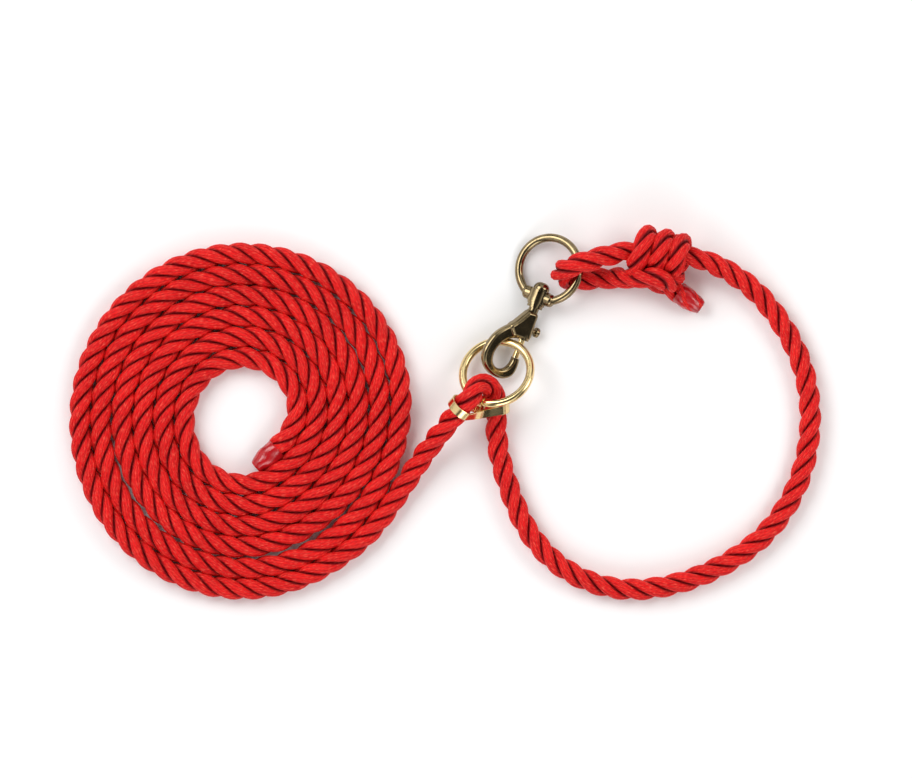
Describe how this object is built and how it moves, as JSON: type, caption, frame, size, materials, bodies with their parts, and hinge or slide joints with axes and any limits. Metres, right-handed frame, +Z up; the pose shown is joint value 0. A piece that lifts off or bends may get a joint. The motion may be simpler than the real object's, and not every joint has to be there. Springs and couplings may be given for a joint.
{
  "type": "lead rope",
  "caption": "Twisted rope lead for a horse, coiled at its free end, with a neck loop running on a tie ring and a swivel bolt snap clipped to the ring.",
  "frame": {"origin": "on the surface the rope lies on, under the middle of the metal fittings", "axes": "+Z up from that surface; +Y from the tie ring towards the snap's swivel eye; +X from the coil towards the neck loop"},
  "size_m": [0.4323, 0.2179, 0.0362],
  "materials": {
    "red_rope": "twisted synthetic yarn",
    "red_film": "shrunk film",
    "pale_brass": "bright plated",
    "antique_brass": "dark plated",
    "spring_steel": "plain"
  },
  "bodies": {
    "rope": {"lead_coil": "red_rope", "lead_run": "red_rope", "slide_bight": "red_rope", "neck_loop": "red_rope", "knot_body": "red_rope", "eye_bight": "red_rope", "knot_tail": "red_rope", "coil_end_sleeve": "red_film", "tail_end_sleeve": "red_film", "keeper_band": "pale_brass", "swivel_eye": "antique_brass"},
    "ring": {"tie_ring": "pale_brass"},
    "snap": {"snap_body": "antique_brass", "swivel_pin": "antique_brass", "swivel_washer": "antique_brass", "bolt_spring": "spring_steel"},
    "bolt": {"snap_bolt": "antique_brass", "thumb_knob": "antique_brass"}
  },
  "joints": [
    {"name": "tie_ring_turn", "type": "hinge", "parent": "rope", "child": "ring", "pos_m": [-0.0111, -0.0263, 0.01535], "axis": [-0.2034, 0.4401, 0.8746], "continuous": true},
    {"name": "swivel", "type": "hinge", "parent": "rope", "child": "snap", "pos_m": [0.0191, 0.0329, 0.00907], "axis": [0.3572, 0.9319, 0.0628], "range_deg": [0, 75]},
    {"name": "bolt_slide", "type": "slide", "parent": "snap", "child": "bolt", "axis": [0.3572, 0.9319, 0.0628], "range_m": [0, 0.0065], "stiffness_N_per_m": 300, "springref_m": -0.003, "deforming": ["bolt_spring"]}
  ]
}
